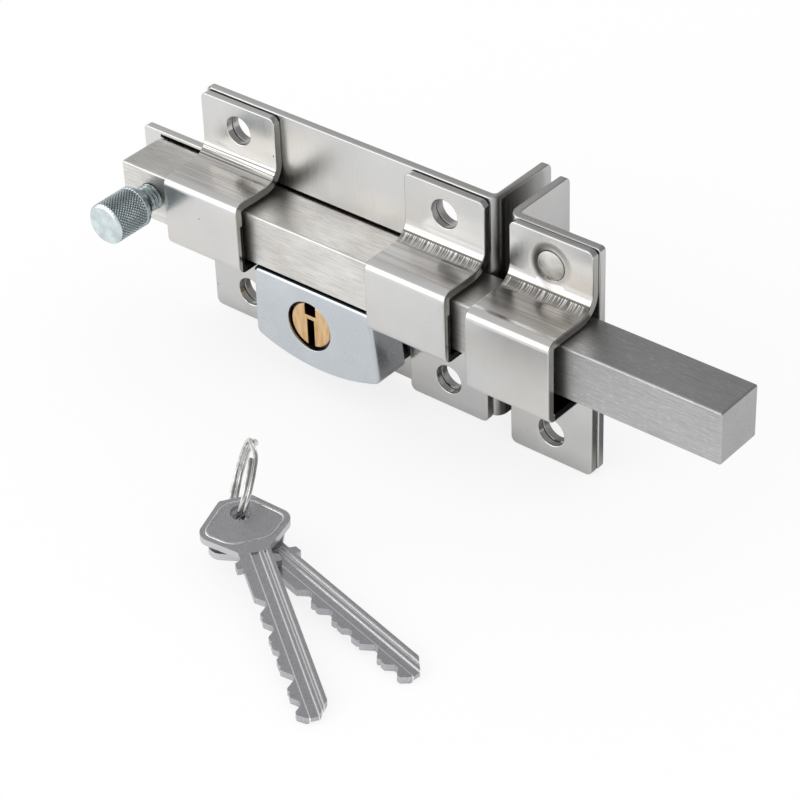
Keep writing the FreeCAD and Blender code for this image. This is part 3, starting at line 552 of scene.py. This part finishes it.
def pull_knob(zinc):
    """The knob: radius = barrel - depth * (1 - min(1, crest / 0.7)), where the crest is the lower of two
    triangle waves that wind round the barrel in opposite directions."""
    low, high = (corner * 1000 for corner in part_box("pull_knob"))
    centre = ((low.x + high.x) / 2, (low.z + high.z) / 2)
    barrel = (high.x - low.x) / 2
    chamfered = barrel - KNOB_CHAMFER
    bore = STUD_RADIUS + BORE_PLAY
    shoulder = high.y - COLLAR_LENGTH
    knurl_end = shoulder - PLAIN_RING
    knurl_start = low.y + KNOB_CHAMFER
    knurled = np.linspace(knurl_start + KNURL_MARGIN, knurl_end - KNURL_MARGIN, KNURL_ROWS)
    before = [(low.y, 0), (low.y, chamfered - FRONT_EASE), (low.y + EASE_DEPTH, chamfered),
              (knurl_start - 0.05, barrel - 0.08)]
    after = [(knurl_end, barrel - 0.02), (shoulder - KNOB_CHAMFER, barrel),
             (shoulder - EASE_DEPTH, chamfered), (shoulder, chamfered - BACK_EASE), (shoulder, COLLAR_RADIUS),
             (high.y - COLLAR_EASE, COLLAR_RADIUS), (high.y, COLLAR_RADIUS - COLLAR_EASE),
             (high.y, bore), (high.y - BORE_DEPTH, bore), (high.y - BORE_DEPTH, 0)]
    profile = before + [(y, barrel) for y in knurled] + after
    angle, y, radius = turned(profile, KNURL_TEETH * TOOTH_COLUMNS)
    turn = KNURL_TEETH * angle / (2 * np.pi)
    crest = np.minimum(wave(turn + y / KNURL_PITCH), wave(turn - y / KNURL_PITCH))
    row = np.arange(len(profile))
    inside = (row >= len(before)) & (row < len(before) + len(knurled))
    groove = inside[:, None] * (1 - np.minimum(1, crest / KNURL_CREST))
    radius = radius - groove * KNURL_DEPTH
    piece = surface("knurled_knob", around(angle, y, radius, centre), zinc, groove)
    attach(piece, "bar")
    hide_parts("pull_knob")


def threaded_stud(zinc):
    """The stud: radius = crest - depth * wave(y / pitch + turn) ** 0.8, a screw line where it shows."""
    low, high = (corner * 1000 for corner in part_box("knob_stud"))
    centre = ((low.x + high.x) / 2, (low.z + high.z) / 2)
    face = high.y - STUD_IN_BAR
    thread_end = face - STUD_SHOWN
    shown = np.linspace(face, thread_end, THREAD_ROWS)
    profile = [(high.y, 0), (high.y, STUD_RADIUS), (face + THREAD_START, STUD_RADIUS)]
    profile += [(y, STUD_RADIUS) for y in shown]
    profile += [(thread_end - THREAD_START, STUD_RADIUS), (low.y, STUD_RADIUS), (low.y, 0)]
    angle, y, radius = turned(profile, STUD_COLUMNS)
    threaded = (y <= face) & (y >= thread_end)
    groove = wave(y / THREAD_PITCH + angle / (2 * np.pi)) ** FLANK_CURVE
    radius = radius - threaded * THREAD_DEPTH * groove * (radius > 0)
    piece = surface("threaded_stud", around(angle, y, radius, centre), zinc)
    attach(piece, "bar")
    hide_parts("knob_stud")


# Pale zinc on turned steel: thin lines round the knob's axis, which runs along Y, and faint clouds.
# Dark polish is left in the bottoms of the knurl.
material, place, colour, roughness, lines = clouded_metal(
    "pale zinc plating on a knurl", "#c4d0d3", "#dde8eb",
    cloud=(3, 3, 3), line=(6, 0.14, 6), gloss=(0.2, 0.34))
tree = material.node_tree
depth = add(tree, "ShaderNodeAttribute", {"attribute_name": "depth"})
bottom = add(tree, "ShaderNodeMapRange", {"From Min": 0.5, "From Max": 1.0}, {"Value": depth.outputs["Fac"]})
colour = add(tree, "ShaderNodeMixRGB", {"Color2": linear(KNURL_POLISH)}, {"Fac": bottom, "Color1": colour})
pull_knob(close_metal(material, colour, roughness, lines, relief=0.003))

# The same plating on the thread, painted dark: painted shade and a painted dark reflection.
material, place, colour, roughness, lines = clouded_metal(
    "zinc on thread with painted shade", "#7d8688", "#a4aeb0",
    cloud=(1.5, 1.5, 1.5), line=(0.6, 0.2, 0.6), gloss=(0.2, 0.3))
threaded_stud(close_metal(material, colour, roughness, lines, relief=0.003))


# The housing: a zinc casting round the cylinder, ground flat in front and plated in satin chrome.
# Two countersunk screws from behind the plate hold it.

HOUSING_EDGE = 0.2
# Painted shade on the sides, from just behind the front face.
HOUSING_SIDE_SHADE = "#a2a6aa"
SIDE_BEHIND_FRONT = (0.3, 1.6)
# Painted shade on the top, under the bar.
HOUSING_TOP_SHADE = "#3c4044"
TOP_BAND = 0.3


def satin_chrome():
    """Satin chrome: cool, very even, with a faint orange-peel skin about half a millimetre apart. The
    sides carry painted shade, and the top under the bar is near black with painted shade."""
    material, place, colour, roughness, lines = clouded_metal(
        "satin chrome casting", "#c9cfd4", "#d3d9dd",
        cloud=(16, 16, 20), line=(0.6, 0.6, 0.6), gloss=(0.22, 0.28))
    tree = material.node_tree
    low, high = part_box("cylinder_housing")
    axis = add(tree, "ShaderNodeSeparateXYZ", {}, {"Vector": place})
    # Painted shade on the sides behind the front face.
    near, far = (low.y + depth / 1000 for depth in SIDE_BEHIND_FRONT)
    side = add(tree, "ShaderNodeMapRange", {"From Min": near, "From Max": far}, {"Value": axis.outputs["Y"]})
    colour = add(tree, "ShaderNodeMixRGB", {"Color2": linear(HOUSING_SIDE_SHADE)}, {"Fac": side, "Color1": colour})
    # Painted shade in a band at the top, under the bar.
    band = {"operation": "GREATER_THAN", 1: high.z - TOP_BAND / 1000}
    upper = add(tree, "ShaderNodeMath", band, {0: axis.outputs["Z"]})
    colour = add(tree, "ShaderNodeMixRGB", {"Color2": linear(HOUSING_TOP_SHADE)}, {"Fac": upper, "Color1": colour})
    return close_metal(material, colour, roughness, lines, relief=0.0015)


finished("cylinder_housing", satin_chrome(), HOUSING_EDGE, sharp=40.0)

# Pale blue zinc on the screws: fine turned lines and faint clouds.
material, place, colour, roughness, lines = clouded_metal(
    "pale zinc plating", "#b4c0c3", "#d5e1e4", cloud=(3, 3, 3), line=(6, 0.14, 6), gloss=(0.2, 0.34))
dress("housing_screws", close_metal(material, colour, roughness, lines, relief=0.003))


# The lock cylinder: barrel, plug, pins and the strip over them in free-cutting brass, turned and
# drilled. The plug's face is faced off last, and only it shows, with its keyway and notch.

PLUG_EDGE = 0.12
# Painted shade on the plug's side just behind its face, seen in the gap round it.
PLUG_GAP_SHADE = "#2a1c12"
SHADE_BEHIND_FACE = (0.2, 0.9)


def turned_brass():
    """Turned brass: warm yellow with soft streaks up the face. Behind the face, as far as the housing
    goes, it is near black with painted shade, in the gap round the plug."""
    material, place, colour, roughness, lines = clouded_metal(
        "turned brass", "#d3aa76", "#e8c79c", cloud=(0.9, 5, 6), line=(0.12, 0.12, 0.9), gloss=(0.26, 0.38))
    tree = material.node_tree
    axis = add(tree, "ShaderNodeSeparateXYZ", {}, {"Vector": place})
    near, far = (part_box("cylinder_plug")[0].y + depth / 1000 for depth in SHADE_BEHIND_FACE)
    # Painted shade behind the face, inside the housing.
    oiled = add(tree, "ShaderNodeMapRange", {"From Min": near, "From Max": far}, {"Value": axis.outputs["Y"]})
    housing_back = {"operation": "LESS_THAN", 1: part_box("cylinder_housing")[1].y}
    covered = add(tree, "ShaderNodeMath", housing_back, {0: axis.outputs["Y"]})
    oiled = add(tree, "ShaderNodeMath", {"operation": "MULTIPLY"}, {0: oiled, 1: covered})
    colour = add(tree, "ShaderNodeMixRGB", {"Color2": linear(PLUG_GAP_SHADE)}, {"Fac": oiled, "Color1": colour})
    return close_metal(material, colour, roughness, lines, relief=0.004)


brass = turned_brass()
finished("cylinder_plug", brass, PLUG_EDGE)
for node in ("cylinder_barrel", "driver_pins", "key_pins", "pin_cover"):
    dress(node, brass)


# The cam, the dog, the clip and the springs: small steel pieces inside the lock, hardened or
# springy, bare and lightly oiled.

# Bare steel under oil: mid grey with darker clouds and fine grinding lines.
material, place, colour, roughness, lines = clouded_metal(
    "oiled bare steel", "#77746f", "#a9a7a4", cloud=(2.5, 2.5, 2.5), line=(0.15, 3, 3), gloss=(0.3, 0.45))
bare_steel = close_metal(material, colour, roughness, lines, relief=0.005)
for node in ("plug_cam", "locking_dog", "plug_clip", "pin_springs"):
    dress(node, bare_steel)


# The keys: brass blanks, stamped, nickel plated and tumbled to a matt skin, with a raised rim
# inside the head's edge. The grooves' edges carry painted highlights.

KEY_DARK = "#b6b6ba"
KEY_LIGHT = "#c8c8cc"
# Painted highlights on the grooves' edges.
KEY_GROOVE_HIGHLIGHT = "#fafafa"
# A painted highlight on the head's sides.
KEY_SIDE_HIGHLIGHT = "#cfcfd2"
KEY_THICKNESS = 2.2
SIDE_MARGIN = 0.08
GROOVE_START = 14.4

# Each line's place across the blade and half its width, and the head's corners along and across.
GROOVE_LINES = ((3.0, 0.2), (2.2, 0.26), (1.1, 0.16), (-1.3, 0.22))
HEAD_CORNERS = ((-5.6, 4.4), (-5.6, -4.4), (4.6, -13.2), (11.6, -6.2), (11.6, 6.2), (4.6, 13.2))

RIM_INSET = 0.84
RIM_ROUNDING = 2.6
RIM_HALF_WIDTH = 0.32
RIM_HEIGHT = 0.24
RIM_SUNK = 0.05
CORNER_STEPS = 9
RIM_COLUMNS = 14


def key_axes(joint_name, heading):
    """A key's hole and its directions along, across and up, from the hinge it swings on."""
    joint = next(j for j in frame["joints"] if j["name"] == joint_name)
    up = np.array(joint["axis"], float)
    up /= np.linalg.norm(up)
    flat = np.array((math.cos(math.radians(heading)), math.sin(math.radians(heading)), 0))
    along = flat - up * flat.dot(up)
    along /= np.linalg.norm(along)
    return np.array(joint["pos_m"]), along, np.cross(up, along), up


def tumbled_nickel(name, hole, along, across, up):
    """Nickel tumbled matt, with a fine even grain. Along the blade's grooves the edges get painted highlights:
    a line is bright where its distance from the point, measured across the blade, is under its half width.
    The head's sides get a painted highlight too, where the distance up from the key's middle is under half
    its thickness."""
    material, place, colour, roughness, grain = clouded_metal(
        name, KEY_DARK, KEY_LIGHT, cloud=(0.5, 0.5, 0.5), line=(0.25, 0.25, 0.25), gloss=(0.32, 0.44))
    tree = material.node_tree
    away = add(tree, "ShaderNodeVectorMath", {"operation": "SUBTRACT", 1: tuple(hole)}, {0: place})
    run, side, rise = (
        add(tree, "ShaderNodeVectorMath", {"operation": "DOT_PRODUCT", 1: tuple(way)}, {0: away})
        for way in (along, across, up))
    start = {"operation": "GREATER_THAN", 1: GROOVE_START / 1000}
    blade = add(tree, "ShaderNodeMath", start, {0: run.outputs["Value"]})
    # Painted highlights along the grooves' edges.
    for distance, half in GROOVE_LINES:
        line = {"operation": "COMPARE", 1: distance / 1000, 2: half / 1000}
        near = add(tree, "ShaderNodeMath", line, {0: side.outputs["Value"]})
        share = add(tree, "ShaderNodeMath", {"operation": "MULTIPLY"}, {0: near, 1: blade})
        links = {"Fac": share, "Color1": colour}
        colour = add(tree, "ShaderNodeMixRGB", {"Color2": linear(KEY_GROOVE_HIGHLIGHT)}, links)
    # A painted highlight on the head's sides.
    between_faces = {"operation": "COMPARE", 1: 0.0, 2: (KEY_THICKNESS / 2 - SIDE_MARGIN) / 1000}
    edge = add(tree, "ShaderNodeMath", between_faces, {0: rise.outputs["Value"]})
    head = add(tree, "ShaderNodeMath", {"operation": "SUBTRACT", 0: 1.0}, {1: blade})
    share = add(tree, "ShaderNodeMath", {"operation": "MULTIPLY"}, {0: edge, 1: head})
    colour = add(tree, "ShaderNodeMixRGB", {"Color2": linear(KEY_SIDE_HIGHLIGHT)}, {"Fac": share, "Color1": colour})
    return close_metal(material, colour, roughness, grain, relief=0.006)


def key_rim(name, body, axes, side, nickel):
    """A bead on a closed path: six corners pulled towards their middle, each rounded by the curve
    (1-t)^2 a + 2t(1-t) c + t^2 b. Its section is a circle squashed to the rim's height, half sunk."""
    hole, along, across, up = axes
    corners = np.array(HEAD_CORNERS)
    middle = corners.mean(axis=0)
    corners = middle + (corners - middle) * RIM_INSET
    before = np.roll(corners, 1, axis=0) - corners
    after = np.roll(corners, -1, axis=0) - corners
    start = corners + before / np.linalg.norm(before, axis=1)[:, None] * RIM_ROUNDING
    end = corners + after / np.linalg.norm(after, axis=1)[:, None] * RIM_ROUNDING
    t = np.linspace(0, 1, CORNER_STEPS)[None, :, None]
    path = (1 - t) ** 2 * start[:, None] + 2 * t * (1 - t) * corners[:, None] + t ** 2 * end[:, None]
    path = path.reshape(-1, 2)
    run = np.roll(path, -1, axis=0) - np.roll(path, 1, axis=0)
    run /= np.linalg.norm(run, axis=1)[:, None]
    normal = np.stack([-run[:, 1], run[:, 0]], axis=1)
    turn = np.linspace(0, 2 * np.pi, RIM_COLUMNS, endpoint=False)
    out = np.cos(turn) * RIM_HALF_WIDTH
    rise = np.sin(turn) * RIM_HEIGHT + KEY_THICKNESS / 2 - RIM_SUNK
    flat = path[:, None, :] + normal[:, None, :] * out[None, :, None]
    points = (flat[..., :1] * along + flat[..., 1:] * across + (side * rise)[None, :, None] * up) / 1000
    points = np.concatenate([points, points[:1]]) + hole
    piece = surface(name, points, nickel)
    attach(piece, body)


# The rims' crowns are rubbed bright by the tumbling.
material, place, colour, roughness, lines = clouded_metal(
    "rubbed nickel rim", "#dcdcdc", "#f6f6f6",
    cloud=(1.2, 1.2, 1.2), line=(0.3, 0.3, 0.3), gloss=(0.2, 0.32))
rubbed_rim = close_metal(material, colour, roughness, lines, relief=0.004)

for node, body, heading in (("key_one", "first_key", -34.0), ("key_two", "second_key", -10.0)):
    axes = key_axes(body + "_swing", heading)
    dress(node, tumbled_nickel("tumbled nickel of " + node, *axes))
    key_rim(body + "_rim_top", body, axes, 1, rubbed_rim)
    key_rim(body + "_rim_under", body, axes, -1, rubbed_rim)


# The split ring: flattened spring wire wound two turns, hardened and bright nickel plated. One
# step carries the wire from the first turn to the second, past its own two ends.

RING_HEADING = -49.5
RING_LEAN = 18.0
RING_RADIUS = 11.8
RING_ROWS = 280
WIRE_HALF = 0.6
WIRE_COLUMNS = 20
TURN_SPACING = 1.3
STEP_ANGLE = 0.3


def split_ring(nickel):
    """A wire along two turns: offset from the middle plane = spacing / 2 * (2 s - 1), where s goes
    smoothly from 0 to 1 at the step. Its section is |x|^3 + |y|^3 = r^3."""
    low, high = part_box("key_ring")
    centre = np.array((low + high) / 2) * 1000
    heading, lean = math.radians(RING_HEADING), math.radians(RING_LEAN)
    along = np.array((math.cos(heading), math.sin(heading), 0))
    side = np.array((-math.sin(heading), math.cos(heading), 0))
    up = side * math.sin(lean) + np.array((0, 0, math.cos(lean)))
    axis = np.cross(up, along)
    travel = np.linspace(STEP_ANGLE, 4 * np.pi - STEP_ANGLE, RING_ROWS)
    share = np.clip((travel - 2 * np.pi) / (2 * STEP_ANGLE) + 0.5, 0, 1)
    offset = TURN_SPACING / 2 * (2 * share ** 2 * (3 - 2 * share) - 1)
    outward = np.cos(travel)[:, None] * up + np.sin(travel)[:, None] * along
    middle = centre + outward * RING_RADIUS + offset[:, None] * axis
    turn = np.linspace(0, 2 * np.pi, WIRE_COLUMNS, endpoint=False)
    swell = WIRE_HALF / (np.abs(np.cos(turn)) ** 3 + np.abs(np.sin(turn)) ** 3) ** (1 / 3)
    outer = (swell * np.cos(turn))[None, :, None] * outward[:, None, :]
    wire = middle[:, None, :] + (outer + (swell * np.sin(turn))[None, :, None] * axis)
    ends = [np.repeat(middle[k][None, None, :], len(turn), axis=1) for k in (0, -1)]
    piece = surface("split_ring", np.concatenate([ends[0], wire, ends[1]]) / 1000, nickel)
    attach(piece, "ring")
    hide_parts("key_ring")


# Bright nickel on spring wire: near mirror, with faint rub marks.
material, place, colour, roughness, lines = clouded_metal(
    "bright nickel wire", "#c2c2c0", "#ececea", cloud=(2, 2, 2), line=(0.5, 0.5, 2.5), gloss=(0.1, 0.2))
split_ring(close_metal(material, colour, roughness, lines, relief=0.003))


# The surface that the lock and its keys lie on: white paper, which runs out of sight.

# The floor's reach is in metres.
FLOOR_REACH = 3.0
PAPER = "#f4f4f4"
DIM_PAPER = "#77777a"
SEEN_WHITE = 0.8
MIRRORED_WHITE = 0.25

# Along an axis, between two places, the share of dim paper goes from one value to another.
DIM_BANDS = (("Y", -12, 8, 0, 1), ("Y", 45, 80, 1, 0.5), ("X", 120, 150, 1, 0.3))


def white_paper():
    """Matt paper. What the camera sees of it is mostly plain white, so that only a soft shadow stays. In
    the metal's reflections it is pale in front and dim behind the lock, as in the photograph's room."""
    material = bpy.data.materials.new("white paper")
    material.use_nodes = True
    tree = material.node_tree
    tree.nodes.clear()
    rays = add(tree, "ShaderNodeLightPath")
    place = add(tree, "ShaderNodeTexCoord").outputs["Object"]
    axis = add(tree, "ShaderNodeSeparateXYZ", {}, {"Vector": place})
    dim = rays.outputs["Is Glossy Ray"]
    for name, near, far, start, end in DIM_BANDS:
        span = {"From Min": near / 1000, "From Max": far / 1000, "To Min": start, "To Max": end}
        inside = add(tree, "ShaderNodeMapRange", span, {"Value": axis.outputs[name]})
        dim = add(tree, "ShaderNodeMath", {"operation": "MULTIPLY"}, {0: dim, 1: inside})
    tone = add(tree, "ShaderNodeMixRGB", {"Color1": linear(PAPER), "Color2": linear(DIM_PAPER)}, {"Fac": dim})
    paper = add(tree, "ShaderNodeBsdfDiffuse", {}, {"Color": tone})
    white = add(tree, "ShaderNodeEmission", {"Color": (1, 1, 1, 1), "Strength": 1.0})
    seen = {"operation": "MULTIPLY", 1: SEEN_WHITE}
    direct = add(tree, "ShaderNodeMath", seen, {0: rays.outputs["Is Camera Ray"]})
    lit = add(tree, "ShaderNodeMath", {"operation": "SUBTRACT"}, {0: rays.outputs["Is Glossy Ray"], 1: dim})
    glossy = add(tree, "ShaderNodeMath", {"operation": "MULTIPLY", 1: MIRRORED_WHITE}, {0: lit})
    share = add(tree, "ShaderNodeMath", {"operation": "ADD"}, {0: direct, 1: glossy})
    through = {0: share, 1: rays.outputs["Is Transmission Ray"]}
    share = add(tree, "ShaderNodeMath", {"operation": "MAXIMUM"}, through)
    mixed = add(tree, "ShaderNodeMixShader", {}, {0: share, 1: paper, 2: white})
    add(tree, "ShaderNodeOutputMaterial", {}, {"Surface": mixed})
    return material


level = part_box("receiver_guide")[0].z
ways = ((-1, -1), (1, -1), (1, 1), (-1, 1))
floor_mesh = bpy.data.meshes.new("paper")
floor_mesh.from_pydata([(x * FLOOR_REACH, y * FLOOR_REACH, level) for x, y in ways], [], [(0, 1, 2, 3)])
floor_mesh.materials.append(white_paper())
floor = bpy.data.objects.new("paper", floor_mesh)
bpy.context.collection.objects.link(floor)


# The light: a white room whose left half is bright and whose back right half is dim, and one large soft
# lamp low at the left, which gives the guides' bends their white bands.

ROOM_LIGHT = 1.0
DIM_SIDE = 0.25
BRIGHT_SIDE = 0.68
BRIGHT_WAY = (-0.707, -0.707, 0)
SIDES_MEET = (-0.16, 0.06)

# The lamp's distance and sizes are in metres, its power in watts.
LAMP_DIRECTION = (-0.5255, -0.78, 0.34)
LAMP_DISTANCE = 1.8
LAMP_WIDTH = 2.6
LAMP_HEIGHT = 1.2
LAMP_POWER = 13.0

# The room lights the piece evenly. Only in the metal's reflections does it have two sides.
world = bpy.data.worlds.new("white room")
world.use_nodes = True
tree = world.node_tree
tree.nodes.clear()
direction = add(tree, "ShaderNodeTexCoord").outputs["Generated"]
toward = add(tree, "ShaderNodeVectorMath", {"operation": "DOT_PRODUCT", 1: BRIGHT_WAY}, {0: direction})
span = {"From Min": SIDES_MEET[0], "From Max": SIDES_MEET[1], "To Min": DIM_SIDE, "To Max": BRIGHT_SIDE}
side = add(tree, "ShaderNodeMapRange", span, {"Value": toward.outputs["Value"]})
rays = add(tree, "ShaderNodeLightPath")
seen = add(tree, "ShaderNodeBackground", {"Color": (1, 1, 1, 1), "Strength": 1.0})
mirrored = add(tree, "ShaderNodeBackground", {"Color": (1, 1, 1, 1)}, {"Strength": side})
room = add(tree, "ShaderNodeBackground", {"Color": (1, 1, 1, 1), "Strength": ROOM_LIGHT})
lit = add(tree, "ShaderNodeMixShader", {}, {0: rays.outputs["Is Glossy Ray"], 1: room, 2: mirrored})
through = add(tree, "ShaderNodeMath", {"operation": "MAXIMUM"},
              {0: rays.outputs["Is Camera Ray"], 1: rays.outputs["Is Transmission Ray"]})
shown = add(tree, "ShaderNodeMixShader", {}, {0: through, 1: lit, 2: seen})
add(tree, "ShaderNodeOutputWorld", {}, {"Surface": shown})
bpy.context.scene.world = world

light = bpy.data.lights.new("large soft lamp", "AREA")
light.shape = "RECTANGLE"
light.size = LAMP_WIDTH
light.size_y = LAMP_HEIGHT
light.energy = LAMP_POWER
lamp = bpy.data.objects.new("large soft lamp", light)
lamp.location = Vector(LAMP_DIRECTION).normalized() * LAMP_DISTANCE
lamp.rotation_euler = Vector(LAMP_DIRECTION).to_track_quat("Z", "Y").to_euler()
lamp.visible_camera = False
bpy.context.collection.objects.link(lamp)


# The camera: where the photograph was taken from, to the right and above, with a long lens.

CAMERA_PLACE = (440.636, -500.134, 429.717)
CAMERA_AZIMUTH = 40.447
CAMERA_ELEVATION = 35.898
CAMERA_ROLL = -2.222
CAMERA_LENS = 129.12
CAMERA_SENSOR = 36.0


def photo_camera():
    """The view's back, right and up directions from azimuth and elevation, turned by the roll."""
    azimuth, elevation, roll = (math.radians(a) for a in (CAMERA_AZIMUTH, CAMERA_ELEVATION, CAMERA_ROLL))
    level_back = Vector((math.sin(azimuth), -math.cos(azimuth), 0))
    back = level_back * math.cos(elevation) + Vector((0, 0, math.sin(elevation)))
    level_right = Vector((math.cos(azimuth), math.sin(azimuth), 0))
    level_up = back.cross(level_right)
    right = level_right * math.cos(roll) + level_up * math.sin(roll)
    up = level_up * math.cos(roll) - level_right * math.sin(roll)
    place = Matrix((right, up, back)).transposed().to_4x4()
    place.translation = Vector(CAMERA_PLACE) / 1000
    lens = bpy.data.cameras.new("photo camera")
    lens.lens = CAMERA_LENS
    lens.sensor_width = CAMERA_SENSOR
    lens.clip_start = 0.01
    camera = bpy.data.objects.new("photo camera", lens)
    camera.matrix_world = place
    bpy.context.collection.objects.link(camera)
    bpy.context.scene.camera = camera


photo_camera()
bpy.context.scene.view_settings.view_transform = "Standard"

bpy.context.view_layer.update()
